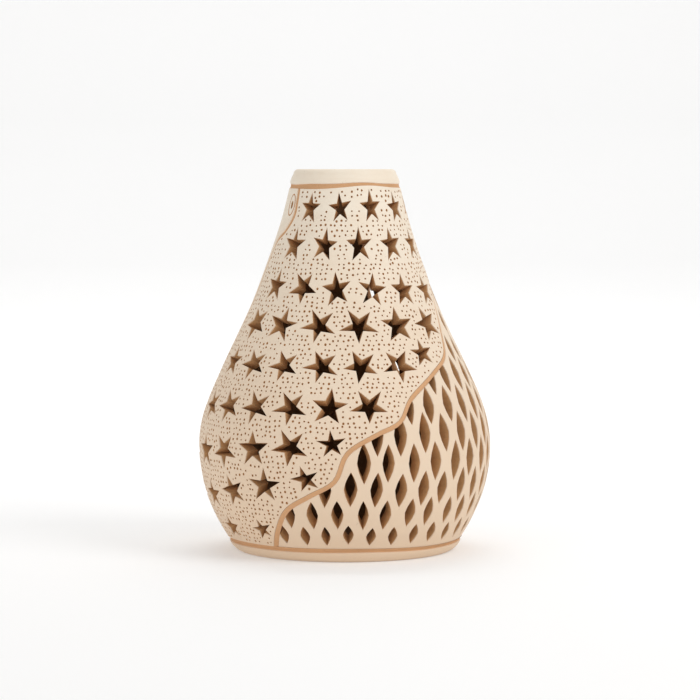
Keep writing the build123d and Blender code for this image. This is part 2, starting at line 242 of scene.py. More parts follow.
def hand_set(co):
    """Where a true-turned point ends up on the hand-made pot, in metres."""
    x, y, z = co[0] / MM, co[1] / MM, co[2] / MM
    r, d = math.hypot(x, y), math.degrees(math.atan2(x, -y))
    hump = HUMP_RISE * math.exp(-((d - HUMP_ANGLE) / HUMP_SPREAD) ** 2)
    neck_low = hump + wave_sum(d, NECK_LOW_WAVES) - 0.35
    neck_high = 0.6 * hump + wave_sum(d, NECK_HIGH_WAVES)
    foot_low = wave_sum(d, FOOT_LOW_WAVES)
    foot_high = wave_sum(d, FOOT_HIGH_WAVES)
    rise = level_share(z, ((160.0, 0.0), (WALL_TOP, neck_low), (COLLAR_BOTTOM, neck_high),
                           (HEIGHT - 1.0, 0.0)))
    rise += level_share(z, ((0.0, 0.0), (FOOT_TOP, foot_low), (WALL_BOTTOM, foot_high), (16.0, 0.0)))
    swell = wave_sum(d + 0.55 * z, SWELL_WAVES) * math.sin(math.pi * z / HEIGHT)
    swell += 0.09 * math.sin(z / 6.3 + 0.8 * math.sin(math.radians(d)))
    grow = (r + swell * min(1.0, r / MOUTH_R)) / r if r > 1e-6 else 1.0
    return Vector((x * grow, y * grow, z + rise)) * MM


def curve_points(knots, count=90):
    """Even points (degrees, height) on a smooth curve through the knots."""
    out, n = [], len(knots)
    for i in range(n - 1):
        p0, p1, p2, p3 = knots[max(i - 1, 0)], knots[i], knots[i + 1], knots[min(i + 2, n - 1)]
        steps = max(2, count // (n - 1))
        for k in range(steps):
            t = k / steps
            out.append(tuple(0.5 * (2 * p1[j] + (p2[j] - p0[j]) * t
                                    + (2 * p0[j] - 5 * p1[j] + 4 * p2[j] - p3[j]) * t**2
                                    + (3 * p1[j] - p0[j] - 3 * p2[j] + p3[j]) * t**3) for j in (0, 1)))
    out.append(tuple(float(v) for v in knots[-1]))
    return out


CURVES = {"wave_line": curve_points(WAVE), "figure_front_line": curve_points(FIGURE_FRONT),
          "figure_back_line": curve_points(FIGURE_BACK)}
# share of the line width that shows as bare clay; slip has crept over the rest
LINE_SCALE = {"wave_line": 0.84, "figure_front_line": 0.70, "figure_back_line": 0.70}


def side_of_curve(curve, degrees, z):
    """(distance along the skin to a boundary, side) with side +1 on its right hand going up the list."""
    r, best, side = body_radius(z), 1e9, 1.0
    for (ad, az), (bd, bz) in zip(curve, curve[1:]):
        ax, ay = math.radians(ad - degrees) * r, az - z
        bx, by = math.radians(bd - degrees) * r, bz - z
        dx, dy = bx - ax, by - ay
        t = min(1.0, max(0.0, -(ax * dx + ay * dy) / (dx * dx + dy * dy + 1e-9)))
        px, py = ax + t * dx, ay + t * dy
        gap = math.hypot(px, py)
        if gap < best:
            best, side = gap, (1.0 if dx * py - dy * px > 0 else -1.0)
    return best, side


def gap_to_lines(degrees, z):
    return min(side_of_curve(c, degrees, z)[0] for c in CURVES.values())


def angle_on(curve, z):
    pts = sorted(curve, key=lambda p: p[1])
    for a, b in zip(pts, pts[1:]):
        if a[1] <= z <= b[1]:
            return a[0] + (b[0] - a[0]) * (z - a[1]) / max(b[1] - a[1], 1e-6)
    return pts[-1][0]


def field_of(degrees, z):
    """Which carved field a point of the skin lies in."""
    w, f, b = (angle_on(CURVES[n], z) for n in ("wave_line", "figure_front_line", "figure_back_line"))
    d = (degrees - b) % 360.0 + b
    return "figure" if d < f else "star" if d < w else "lattice"


def fitted_star(d, z, wide, tall, turn, line_width):
    """The star, shrunk until its tips clear the lines and the foot. None if it would shrink too far."""
    mm = math.degrees(1.0 / body_radius(z))
    shrink = 1.0
    while shrink > STAR_LEAST:
        tips = [math.radians(90 + turn + 72 * j) for j in range(5)]
        tips = [(d + shrink * wide * math.cos(a) * mm, z + shrink * tall * math.sin(a)) for a in tips]
        clear = line_width * 0.5 + STAR_MARGIN
        foot_clear = min(height for _, height in tips) > WALL_BOTTOM + FOOT_MARGIN
        if foot_clear and all(field_of(*p) == "star" and gap_to_lines(*p) > clear for p in tips):
            return d, z, shrink * wide, shrink * tall, turn
        shrink -= SHRINK_STEP
    return None


def star_list(line_width):
    """(angle, height, half width, tip height, turn) of every star that fits its field."""
    wanted = list(LONE_STARS)
    for z0, rise, wide, tall, first, pitch, turns in STAR_ROWS:
        for k in STAR_COLUMNS:
            turn = turns[k] if 0 <= k < len(turns) else HIDDEN_TURNS[k % len(HIDDEN_TURNS)]
            wanted.append((first + k * pitch, z0 + min(max(k, 0), len(turns)) * rise, wide, tall, turn))
    found = [fitted_star(*star, line_width) for star in wanted if field_of(*star[:2]) == "star"]
    return [star for star in found if star]


def leaf_list():
    """(angle, height, leaf height, leaf width) of every leaf in the lattice."""
    out = []
    for z, count, half, height, width in LEAF_ROWS:
        for k in range(count):
            d = LEAF_PHASE + (k + 0.5 * half) * 360.0 / count - 180.0
            samples = [field_of(d, z + (s / (LEAF_SAMPLES - 1) - 0.5) * height) for s in range(LEAF_SAMPLES)]
            if samples.count("lattice") / LEAF_SAMPLES > LEAF_SHARE and "figure" not in samples[2:9]:
                out.append((d, z, height, width))
    return out


# ---- modelling helpers -----------------------------------------------------------
def only(ob):
    """Make one object the selected and active one."""
    if bpy.context.object and bpy.context.object.mode != "OBJECT":
        bpy.ops.object.mode_set(mode="OBJECT")
    bpy.ops.object.select_all(action="DESELECT")
    ob.select_set(True)
    bpy.context.view_layer.objects.active = ob


def clear_selection():
    if bpy.context.object and bpy.context.object.mode != "OBJECT":
        bpy.ops.object.mode_set(mode="OBJECT")
    bpy.ops.object.select_all(action="DESELECT")


def edit_mode(ob):
    only(ob)
    bpy.ops.object.mode_set(mode="EDIT")
    bpy.ops.mesh.select_mode(type="VERT")


def pick(ob, test):
    """In edit mode, select just the vertices that pass the test."""
    bm = bmesh.from_edit_mesh(ob.data)
    for v in bm.verts:
        v.select = test(v)
    bm.select_flush_mode()
    bmesh.update_edit_mesh(ob.data)


def extrude_by(offset):
    bpy.ops.mesh.extrude_region_move(TRANSFORM_OT_translate={"value": offset})


def lathe(name, profile, steps):
    """Extrude one vertex round a closed (radius, height) outline and spin it about the upright axis."""
    clear_selection()
    r0, z0 = profile[0]
    bpy.ops.mesh.primitive_plane_add(size=MM, location=(0, 0, 0))
    ob = bpy.context.object
    ob.name = ob.data.name = name
    edit_mode(ob)
    pick(ob, lambda v: v.index == 0)
    bpy.ops.mesh.select_all(action="INVERT")
    bpy.ops.mesh.delete(type="VERT")
    bpy.ops.mesh.select_all(action="SELECT")
    bm = bmesh.from_edit_mesh(ob.data)
    bm.verts.ensure_lookup_table()
    at = bm.verts[0].co.copy()
    bpy.ops.transform.translate(value=(r0 * MM - at.x, -at.y, z0 * MM - at.z))
    last = (r0, z0)
    for r, z in profile[1:]:
        extrude_by(((r - last[0]) * MM, 0, (z - last[1]) * MM))
        last = (r, z)
    if profile[0][0] > 1e-6 or last[0] > 1e-6:
        extrude_by(((r0 - last[0]) * MM, 0, (z0 - last[1]) * MM))
    bpy.ops.mesh.select_all(action="SELECT")
    bpy.ops.mesh.remove_doubles(threshold=1e-7)
    bpy.ops.mesh.select_all(action="SELECT")
    bpy.ops.mesh.spin(steps=steps, angle=2 * math.pi, center=(0, 0, 0), axis=(0, 0, 1))
    bpy.ops.mesh.select_all(action="SELECT")
    bpy.ops.mesh.remove_doubles(threshold=1e-6)
    bpy.ops.mesh.normals_make_consistent(inside=False)
    bpy.ops.object.mode_set(mode="OBJECT")
    return ob


def prism(name, outline, levels):
    """A tapered tool for cutting: a flat outline in millimetres, then (lift, scale) at each level down."""
    clear_selection()
    top, grow = levels[0]
    bpy.ops.mesh.primitive_circle_add(vertices=len(outline), radius=MM, fill_type="NGON", location=(0, 0, 0))
    ob = bpy.context.object
    ob.name = name
    edit_mode(ob)
    bm = bmesh.from_edit_mesh(ob.data)
    bm.verts.ensure_lookup_table()
    for v, (x, y) in zip(bm.verts, outline):
        v.co = (x * grow * MM, y * grow * MM, top * MM)
    bmesh.update_edit_mesh(ob.data)
    bpy.ops.mesh.select_all(action="SELECT")
    last = (top, grow)
    for lift, scale in levels[1:]:
        extrude_by((0, 0, (lift - last[0]) * MM))
        bpy.ops.transform.resize(value=(scale / last[1], scale / last[1], 1.0), center_override=(0, 0, 0))
        last = (lift, scale)
    bpy.ops.mesh.select_all(action="SELECT")
    bpy.ops.mesh.normals_make_consistent(inside=False)
    bpy.ops.object.mode_set(mode="OBJECT")
    return ob


def wrap(ob, degrees, z):
    """Bend a flat piece, modelled round the origin, on to the skin at one place."""
    per_mm = math.degrees(1.0 / body_radius(z))
    rise = 1.0 / math.hypot(1.0, body_slope(z))
    for v in ob.data.vertices:
        v.co = skin_point(degrees + v.co.x / MM * per_mm, z + v.co.y / MM * rise, v.co.z / MM)


def place_copies(base, places, reshape=None):
    """One joined tool from copies of base: each place is (angle, height, width scale, height scale, turn)."""
    made = []
    for degrees, z, sx, sy, turn in places:
        ob = base.copy()
        ob.data = base.data.copy()
        bpy.context.collection.objects.link(ob)
        if reshape:
            reshape(ob)
        ob.data.transform(Matrix.Diagonal((sx, sy, 1.0, 1.0)) @ Matrix.Rotation(turn, 4, "Z"))
        wrap(ob, degrees, z)
        made.append(ob)
    bpy.data.objects.remove(base)
    return join(made)


def join(objects):
    clear_selection()
    for ob in objects:
        ob.select_set(True)
    bpy.context.view_layer.objects.active = objects[0]
    if len(objects) > 1:
        bpy.ops.object.join()
    return bpy.context.object


def carve(target, tool, operation="DIFFERENCE"):
    """Cut the tool from the target, or keep what they share, and throw the tool away."""
    mod = target.modifiers.new("Carve", "BOOLEAN")
    mod.solver, mod.operation, mod.object = "MANIFOLD", operation, tool
    only(target)
    bpy.ops.object.modifier_apply(modifier=mod.name)
    bpy.data.objects.remove(tool)
    if not target.data.polygons:
        raise RuntimeError("nothing is left of " + target.name)


def ribbon(name, width, flare=0.0):
    """A closed strip along a boundary that reaches right through the wall; flare widens it at the skin."""
    curve = CURVES[name]
    clear_selection()
    bpy.ops.mesh.primitive_grid_add(x_subdivisions=len(curve) - 1, y_subdivisions=1, size=2 * MM)
    ob = bpy.context.object
    edit_mode(ob)
    levels = [1.5, 0.45, -0.4, -CUT_DEPTH] if flare else [2.0, -CUT_DEPTH]
    widen = {0: flare * 3.1, 1: flare * 1.9}
    pick(ob, lambda v: True)
    for k in range(len(levels) - 1):
        extrude_by((0, 0, -MM))
    bpy.ops.mesh.select_all(action="SELECT")
    bpy.ops.mesh.normals_make_consistent(inside=False)
    bpy.ops.object.mode_set(mode="OBJECT")
    count = len(curve)
    for v in ob.data.vertices:
        i = round((v.co.x / MM + 1.0) * 0.5 * (count - 1))
        side = 1.0 if v.co.y > 0 else -1.0
        level = round(-v.co.z / MM)
        half = width * 0.5 + widen.get(level, 0.0)
        (ad, az), (bd, bz) = curve[max(i - 1, 0)], curve[min(i + 1, count - 1)]
        d, z = curve[i]
        r = body_radius(z)
        ux, uy = math.radians(bd - ad) * r, bz - az
        n = math.hypot(ux, uy)
        v.co = skin_point(d - side * uy / n * half * math.degrees(1.0 / r), z + side * ux / n * half,
                          levels[level])
    return ob


def finish_piece(ob, name, nodes):
    """Name, smooth, ride and replace a finished piece."""
    only(ob)
    ob.name = ob.data.name = name
    for v in ob.data.vertices:
        v.co = hand_set(v.co)
    bpy.ops.object.transform_apply(location=True, rotation=True, scale=True)
    bpy.ops.object.shade_smooth_by_angle(angle=math.radians(SMOOTH_ANGLE))
    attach(ob, "root")
    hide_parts(*nodes)


def paint_faces(ob, materials, choose):
    """Give a mesh its materials; choose(face centre, face normal) returns the slot of each face."""
    ob.data.materials.clear()
    for mat in materials:
        ob.data.materials.append(mat)
    for p in ob.data.polygons:
        p.material_index = choose(p.center, p.normal)


# ---- materials ---------------------------------------------------------------------
class Nodes:
    """Small helper that adds and links shader nodes."""

    def __init__(self, tree):
        self.tree = tree
        self.x = -1400

    def add(self, kind, inputs=None, **settings):
        node = self.tree.nodes.new(kind)
        node.location = (self.x, 0)
        self.x += 160
        for key, value in settings.items():
            setattr(node, key, value)
        for key, value in (inputs or {}).items():
            if isinstance(value, bpy.types.NodeSocket):
                self.tree.links.new(value, node.inputs[key])
            else:
                node.inputs[key].default_value = value
        return node

    def noise(self, vector, scale, detail=3.0, rough=0.5):
        return self.add("ShaderNodeTexNoise", {"Vector": vector, "Scale": scale, "Detail": detail,
                                               "Roughness": rough}).outputs["Fac"]

    def span(self, value, low, high, out_low=0.0, out_high=1.0):
        return self.add("ShaderNodeMapRange", {"Value": value, "From Min": low, "From Max": high,
                                               "To Min": out_low, "To Max": out_high}).outputs["Result"]

    def maths(self, operation, a, b):
        return self.add("ShaderNodeMath", {0: a, 1: b}, operation=operation).outputs[0]

    def mix(self, factor, a, b, blend="MIX"):
        node = self.add("ShaderNodeMix", data_type="RGBA", blend_type=blend)
        for socket, value in ((node.inputs[0], factor), (node.inputs[6], a), (node.inputs[7], b)):
            if isinstance(value, bpy.types.NodeSocket):
                self.tree.links.new(value, socket)
            else:
                socket.default_value = value
        return node.outputs[2]


def rgba(colour, gain=1.0):
    return tuple(min(1.0, c * gain) for c in colour) + (1.0,)


def new_group(name, inputs, outputs):
    tree = bpy.data.node_groups.new(name, "ShaderNodeTree")
    for label, kind, default in inputs:
        socket = tree.interface.new_socket(name=label, in_out="INPUT", socket_type=kind)
        if default is not None:
            socket.default_value = default
    for label, kind in outputs:
        tree.interface.new_socket(name=label, in_out="OUTPUT", socket_type=kind)
    return tree, tree.nodes.new("NodeGroupInput").outputs, tree.nodes.new("NodeGroupOutput").inputs


def grain_group():
    """Fine clay grain: sand, pits and slow unevenness, as one height, and a mask of the pits for their
    painted shade.
    """
    if "Clay grain" in bpy.data.node_groups:
        return bpy.data.node_groups["Clay grain"]
    tree, inp, out = new_group(
        "Clay grain",
        [("Vector", "NodeSocketVector", None), ("Sand", "NodeSocketFloat", 0.5),
         ("Pits", "NodeSocketFloat", 0.3), ("Hand", "NodeSocketFloat", 0.5)],
        [("Height", "NodeSocketFloat"), ("Pit shade mask", "NodeSocketFloat")])
    n = Nodes(tree)
    sand = n.noise(inp["Vector"], 2600.0, 2.0, 0.6)
    hand = n.noise(inp["Vector"], 140.0, 3.0, 0.55)
    cells = n.add("ShaderNodeTexVoronoi", {"Vector": inp["Vector"], "Scale": 520.0}, feature="F1")
    pit = n.span(cells.outputs["Distance"], 0.04, 0.16, 1.0, 0.0)
    keep = n.span(n.noise(inp["Vector"], 260.0, 1.0), 0.56, 0.64)
    pit = n.maths("MULTIPLY", pit, keep)
    height = n.maths("ADD", n.maths("MULTIPLY", sand, inp["Sand"]), n.maths("MULTIPLY", hand, inp["Hand"]))
    height = n.maths("SUBTRACT", height, n.maths("MULTIPLY", pit, inp["Pits"]))
    tree.links.new(height, out["Height"])
    tree.links.new(pit, out["Pit shade mask"])
    return tree


def tone_group():
    """Slow colour change of a hand-slipped surface: cloud, streaks round the body, specks."""
    if "Hand tone" in bpy.data.node_groups:
        return bpy.data.node_groups["Hand tone"]
    tree, inp, out = new_group(
        "Hand tone",
        [("Vector", "NodeSocketVector", None), ("Main", "NodeSocketColor", (0.8, 0.7, 0.5, 1.0)),
         ("Second", "NodeSocketColor", (0.6, 0.4, 0.3, 1.0)), ("Cloud", "NodeSocketFloat", 0.4),
         ("Streak", "NodeSocketFloat", 0.2), ("Speck", "NodeSocketFloat", 0.2)],
        [("Color", "NodeSocketColor"), ("Mask", "NodeSocketFloat")])
    n = Nodes(tree)
    cloud = n.span(n.noise(inp["Vector"], 32.0, 4.0, 0.55), 0.38, 0.72)
    small = n.span(n.noise(inp["Vector"], 170.0, 3.0, 0.6), 0.42, 0.75)
    flat = n.add("ShaderNodeMapping", {"Vector": inp["Vector"], "Scale": (14.0, 14.0, 520.0)})
    streak = n.span(n.noise(flat.outputs["Vector"], 1.0, 3.0, 0.6), 0.40, 0.78)
    speck = n.span(n.noise(inp["Vector"], 1500.0, 1.0, 0.5), 0.66, 0.74)
    mask = n.maths("MULTIPLY", n.maths("ADD", cloud, n.maths("MULTIPLY", small, 0.5)), inp["Cloud"])
    mask = n.maths("ADD", mask, n.maths("MULTIPLY", streak, inp["Streak"]))
    mask = n.maths("ADD", mask, n.maths("MULTIPLY", speck, inp["Speck"]))
    mask = n.add("ShaderNodeClamp", {"Value": mask}).outputs[0]
    tree.links.new(n.mix(mask, inp["Main"], inp["Second"]), out["Color"])
    tree.links.new(mask, out["Mask"])
    return tree


def clay_material(name, main, second, cloud, streak, speck, sand, pits, hand, rough, bump,
                  foot=0.0):
    """A fired clay surface. foot paints shade towards the base, darkening and warming the colour lower down.
    """
    if name in bpy.data.materials:
        return bpy.data.materials[name]
    mat = bpy.data.materials.new(name)
    mat.use_nodes = True
    tree = mat.node_tree
    shader = tree.nodes["Principled BSDF"]
    n = Nodes(tree)
    where = n.add("ShaderNodeTexCoord").outputs["Object"]
    tone = n.add("ShaderNodeGroup", node_tree=tone_group())
    for key, value in (("Main", rgba(main)), ("Second", rgba(second)), ("Cloud", cloud), ("Streak", streak),
                       ("Speck", speck)):
        tone.inputs[key].default_value = value
    tree.links.new(where, tone.inputs["Vector"])
    grain = n.add("ShaderNodeGroup", node_tree=grain_group())
    for key, value in (("Sand", sand), ("Pits", pits), ("Hand", hand)):
        grain.inputs[key].default_value = value
    tree.links.new(where, grain.inputs["Vector"])
    colour = tone.outputs["Color"]
    # painted shade: the colour darkens and warms towards the base, where less light falls
    if foot:
        height = n.add("ShaderNodeSeparateXYZ", {"Vector": where}).outputs["Z"]
        uneven = n.maths("MULTIPLY", n.noise(where, 24.0, 3.0), 0.04)
        low = n.span(n.maths("ADD", height, uneven), 0.0, 0.182, 1.0, 0.0)
        low = n.maths("MULTIPLY", n.maths("POWER", low, 0.7), foot)
        colour = n.mix(low, colour, rgba(second))
    # painted shade: the pits are darkened in colour
    colour = n.mix(n.maths("MULTIPLY", grain.outputs["Pit shade mask"], 0.55), colour, rgba(second, 0.55))
    tree.links.new(colour, shader.inputs["Base Color"])
    roughness = n.span(tone.outputs["Mask"], 0.0, 1.0, rough, min(1.0, rough + 0.16))
    tree.links.new(roughness, shader.inputs["Roughness"])
    relief = n.add("ShaderNodeBump", {"Height": grain.outputs["Height"], "Strength": bump,
                                      "Distance": 0.00022})
    tree.links.new(relief.outputs["Normal"], shader.inputs["Normal"])
    shader.inputs["Specular IOR Level"].default_value = 0.35
    return mat


def finishes():
    """Cream slip with painted shade towards the base, worn edge, cut clay, inner clay darkened as painted
    shade, ochre line.
    """
    c = bpy.context.scene.vase_colours
    slip, warm = tuple(c.slip), tuple(c.slip_warm_and_base_shade)
    edge = tuple(0.45 * a + 0.55 * b for a, b in zip(slip, warm))
    cut, inner, ochre = tuple(c.cut_clay), tuple(c.inner_shaded_clay), tuple(c.ochre)
    return (
        # foot=0.88 paints shade towards the base of the cream slip
        clay_material("Cream slip", slip, warm, 0.20, 0.10, 0.10, 0.35, 0.5, 0.8, 0.58, 0.55, foot=0.88),
        clay_material("Worn slip edge", edge, warm, 0.50, 0.0, 0.3, 0.8, 0.3, 0.8, 0.70, 0.6),
        clay_material("Cut clay wall", cut, tuple(0.62 * v for v in cut), 0.35, 0.25, 0.3, 1.0, 0.8, 1.2,
                      0.82, 0.9),
        clay_material("Inner clay with painted shade", inner, tuple(0.6 * v for v in inner), 0.5, 0.5, 0.3, 1.0, 0.6, 1.0,
                      0.85, 0.8),
        clay_material("Ochre cut line", ochre, tuple(0.66 * v for v in ochre), 0.25, 0.10, 0.25, 1.0, 0.7,
                      1.0, 0.78, 0.9),
    )


# the inside faces carry the inner clay, painted darker as shade
SLIP, EDGE, CUT, INNER_SHADED, OCHRE = range(5)


def tool_faces(ob, chamfer_to):
    """Paint a cutting tool, before it is wrapped: worn edge down to a depth, cut clay below it."""
    paint_faces(ob, finishes(), lambda c, n: EDGE if c.z > chamfer_to * MM else CUT)


# ---- operators -----------------------------------------------------------------------
class VASE_OT_throw_wall(bpy.types.Operator):
    """Throw the hollow wall and part it along the boundaries into its three fields"""
    bl_idname = "vase.throw_wall"
    bl_label = "Throw wall"

    def execute(self, context):
        sizes = context.scene.vase_sizes
        wall = lathe("wall", wall_outline(0.0), sizes.spin_steps)
        paint_faces(wall, finishes(), lambda c, n: SLIP if skin_depth(c)[2] < SKIN_BAND else INNER_SHADED)
        tools = []
        for name in CURVES:
            tool = ribbon(name, sizes.line_width / MM * LINE_SCALE[name], flare=sizes.edge_round / MM)
            paint_faces(tool, finishes(), lambda c, n: EDGE if skin_depth(c)[2] < LINE_EDGE else CUT)
            tools.append(tool)
        carve(wall, join(tools))
        only(wall)
        bpy.ops.object.mode_set(mode="EDIT")
        bpy.ops.mesh.select_all(action="SELECT")
        bpy.ops.mesh.separate(type="LOOSE")
        bpy.ops.object.mode_set(mode="OBJECT")
        parts = [o for o in context.selected_objects if len(o.data.polygons) > CRUMB_FACES]
        for ob in parts:
            centre = sum((v.co for v in ob.data.vertices), Vector()) / len(ob.data.vertices)
            degrees, z, _ = skin_depth(centre)
            ob.name = field_of(degrees, z) + "_field"
        for ob in list(context.selected_objects):
            if ob not in parts:
                bpy.data.objects.remove(ob)
        lattice = bpy.data.objects["lattice_field"]
        for v in lattice.data.vertices:
            if skin_depth(v.co)[2] < SKIN_BAND:
                flat = Vector((v.co.x, v.co.y, 0)).normalized()
                v.co -= flat * sizes.lattice_sink
        return {"FINISHED"}


def wall_outline(sink, spacing=1.35, inner_spacing=4.0):
    """Closed (radius, height) outline of the wall, its outer face sunk."""
    outer, z = [], WALL_BOTTOM
    while z < WALL_TOP - spacing * 0.6:
        outer.append((body_radius(z) - sink, z))
        z += spacing / math.hypot(1.0, body_slope(z))
    outer.append((body_radius(WALL_TOP) - sink, WALL_TOP))
    count = round((WALL_TOP - WALL_BOTTOM) / inner_spacing)
    inner = [WALL_TOP + (WALL_BOTTOM - WALL_TOP) * k / count for k in range(count + 1)]
    return outer + [(body_radius(z) - WALL, z) for z in inner]


class VASE_OT_cut_lines(bpy.types.Operator):
    """Lay the bands of bare clay that follow the boundaries"""
    bl_idname = "vase.cut_lines"
    bl_label = "Cut lines"

    def execute(self, context):
        sizes = context.scene.vase_sizes
        for name, curve in CURVES.items():
            width = sizes.line_width / MM * LINE_SCALE[name] + 0.1
            band = lathe(name + "_band", wall_outline(0.12), sizes.spin_steps)
            carve(band, ribbon(name, width), operation="INTERSECT")
            drop = sizes.line_sink / MM * LINE_SCALE[name]
            for v in band.data.vertices:
                degrees, z, depth = skin_depth(v.co)
                if depth < 1.2:
                    gap, side = side_of_curve(curve, degrees, z)
                    if name == "wave_line":
                        t = min(1.0, max(0.0, 0.5 + side * gap / width))
                        down = drop * t ** 1.4
                    else:
                        down = drop * 0.7
                    flat = Vector((v.co.x, v.co.y, 0)).normalized()
                    v.co -= flat * down * MM
            paint_faces(band, finishes(), lambda c, n: OCHRE if skin_depth(c)[2] < 2.5 else INNER_SHADED)
            finish_piece(band, name + "_clay", [name])
        return {"FINISHED"}


class VASE_OT_star_field(bpy.types.Operator):
    """Cut the stars and prick the ground between them"""
    bl_idname = "vase.star_field"
    bl_label = "Star field"

    def execute(self, context):
        sizes = context.scene.vase_sizes
        rng = random.Random(7)
        width = sizes.line_width / MM
        stars = star_list(width)
        soft = sizes.edge_round / MM / STAR_TOOL_R
        outline = []
        for k in range(10):
            a, r = math.radians(90 + 36 * k), (1.0 if k % 2 == 0 else STAR_WAIST) * STAR_TOOL_R
            outline.append((r * math.cos(a), r * math.sin(a)))
        tool = prism("star_tool", outline,
                     [(1.4, 1.0 + 3.6 * soft), (0.4, 1.0 + 1.9 * soft), (-0.4, 1.0), (-CUT_DEPTH, 0.72)])
        tool_faces(tool, -STAR_EDGE)
        places, shapes = [], []
        for d, z, wide, tall, turn in stars:
            spin = math.radians(turn + rng.uniform(-2.5, 2.5))
            sx = wide / STAR_TOOL_R * rng.uniform(0.97, 1.03)
            sy = tall / STAR_TOOL_R * rng.uniform(0.97, 1.03)
            places.append((d, z, sx, sy, spin))
            shapes.append((d, z, max(wide, tall) * 1.06, spin))
        stars_tool = place_copies(tool, places, lambda ob: uneven_arms(ob, rng))
        pricks = prick_places(shapes, sizes.prick_gap / MM, width, rng)
        hole = sizes.prick_width / MM * 0.5
        ring = [(hole * math.cos(k * math.tau / 7), hole * math.sin(k * math.tau / 7)) for k in range(7)]
        prick = prism("prick_tool", ring, [(0.5, 1.2), (-0.1, 1.0), (-0.75, 0.62)])
        tool_faces(prick, 1.0)
        pricks_tool = place_copies(prick, pricks)
        field = bpy.data.objects["star_field"]
        carve(field, join([stars_tool, pricks_tool]))
        finish_piece(field, "star_field_clay", ["star_field_wall", "star_neck_wall"])
        print("stars", len(stars), "pinpricks", len(pricks), "faces", len(field.data.polygons))
        return {"FINISHED"}


def uneven_arms(ob, rng):
    """Give each arm and each inner corner of a star tool its own length, as a knife leaves them."""
    reach = [rng.uniform(0.93, 1.03) if k % 2 == 0 else rng.uniform(0.86, 1.12) for k in range(10)]
    for v in ob.data.vertices:
        k = round(math.degrees(math.atan2(v.co.y, v.co.x) - math.pi / 2) / 36.0) % 10
        v.co.x *= reach[k]
        v.co.y *= reach[k]


def prick_places(shapes, gap, line_width, rng):
    """Uneven rows of pinpricks that keep clear of the stars and the lines."""
    out, z = [], WALL_BOTTOM + 1.6
    row = 0
    while z < WALL_TOP - 1.2:
        r = body_radius(z)
        step = math.degrees(gap / r)
        d = PRICK_SPAN[0] + (row % 2) * step * 0.5 + rng.uniform(-0.2, 0.2) * step
        near = [s for s in shapes if abs(s[1] - z) < s[2] + 2.0]
        while d < PRICK_SPAN[1]:
            dd, zz = d + rng.uniform(-0.22, 0.22) * step, z + rng.uniform(-0.5, 0.5)
            if field_of(dd, zz) == "star" and gap_to_lines(dd, zz) > line_width * 0.5 + PRICK_LINE_GAP \
                    and all(star_gap(s, dd, zz) > PRICK_STAR_GAP for s in near) and rng.random() > PRICK_SKIP:
                size = rng.uniform(0.75, 1.2)
                out.append((dd, zz, size, size * rng.uniform(0.95, 1.2), rng.uniform(0, 3.0)))
            d += step
        z += gap * 0.93 / math.hypot(1.0, body_slope(z))
        row += 1
    return out


def star_gap(shape, degrees, z):
    """Distance from a point to a star's outline, negative inside it."""
    d, z0, size, turn = shape
    x = math.radians(degrees - d) * body_radius(z0)
    y = (z - z0) * math.hypot(1.0, body_slope(z0))
    if math.hypot(x, y) > size + 2.0:
        return 9.0
    a = (math.atan2(y, x) - turn - math.pi / 2) % (math.tau / 5)
    a = min(a, math.tau / 5 - a)
    r = math.hypot(x, y)
    px, py = r * math.cos(a), r * math.sin(a)
    tx, ty = size, 0.0
    wx, wy = size * STAR_WAIST * math.cos(math.pi / 5), size * STAR_WAIST * math.sin(math.pi / 5)
    ex, ey = wx - tx, wy - ty
    t = min(1.0, max(0.0, ((px - tx) * ex + (py - ty) * ey) / (ex * ex + ey * ey)))
    gap = math.hypot(px - tx - t * ex, py - ty - t * ey)
    inside = (px - tx) * ey - (py - ty) * ex < 0
    return -gap if inside else gap


class VASE_OT_lattice_field(bpy.types.Operator):
    """Cut the leaf lattice"""
    bl_idname = "vase.lattice_field"
    bl_label = "Lattice field"

    def execute(self, context):
        sizes = context.scene.vase_sizes
        rng = random.Random(11)
        soft = sizes.edge_round / MM
        half = []
        for k in range(9):
            y = math.cos(math.pi * k / 8.0)
            half.append((0.5 * (1.0 - abs(y) ** 1.6), 0.5 * y))
        outline = [(-x, y) for x, y in half[::-1]][:-1] + half[:-1]
        outline = [(x * LEAF_TOOL[0], y * LEAF_TOOL[1]) for x, y in outline]
        tool = prism("leaf_tool", outline,
                     [(1.4, 1.0 + soft * 0.52), (0.4, 1.0 + soft * 0.27), (-0.85, 1.0), (-CUT_DEPTH, 0.60)])
        tool_faces(tool, -LEAF_EDGE)
        places = []
        for d, z, height, width in leaf_list():
            places.append((d + rng.uniform(-0.6, 0.6), z + rng.uniform(-0.5, 0.5),
                           width / LEAF_TOOL[0] * rng.uniform(0.93, 1.08),
                           height / LEAF_TOOL[1] * rng.uniform(0.95, 1.05),
                           math.radians(rng.uniform(-3.5, 3.5))))
        field = bpy.data.objects["lattice_field"]
        carve(field, place_copies(tool, places))
        finish_piece(field, "lattice_field_clay", ["lattice_field_wall"])
        print("leaves", len(places), "faces", len(field.data.polygons))
        return {"FINISHED"}


class VASE_OT_figure_field(bpy.types.Operator):
    """Cut the eye and incise the one ring round it; the rest of the figure is smooth"""
    bl_idname = "vase.figure_field"
    bl_label = "Figure field"

    def execute(self, context):
        field = bpy.data.objects["figure_field"]
        turns = [k * math.tau / 16 for k in range(16)]
        oval = [(PUPIL[0] * math.cos(a), PUPIL[1] * math.sin(a)) for a in turns]
        pupil = prism("pupil_tool", oval, [(1.0, 1.3), (-0.3, 1.0), (-CUT_DEPTH, 0.85)])
        tool_faces(pupil, -PUPIL_EDGE)
        wrap(pupil, *EYE)
        carve(field, join([pupil, ring_groove(*EYE_RING, EYE)]))
        finish_piece(field, "figure_field_clay", ["figure_field_wall", "figure_neck_wall"])
        return {"FINISHED"}


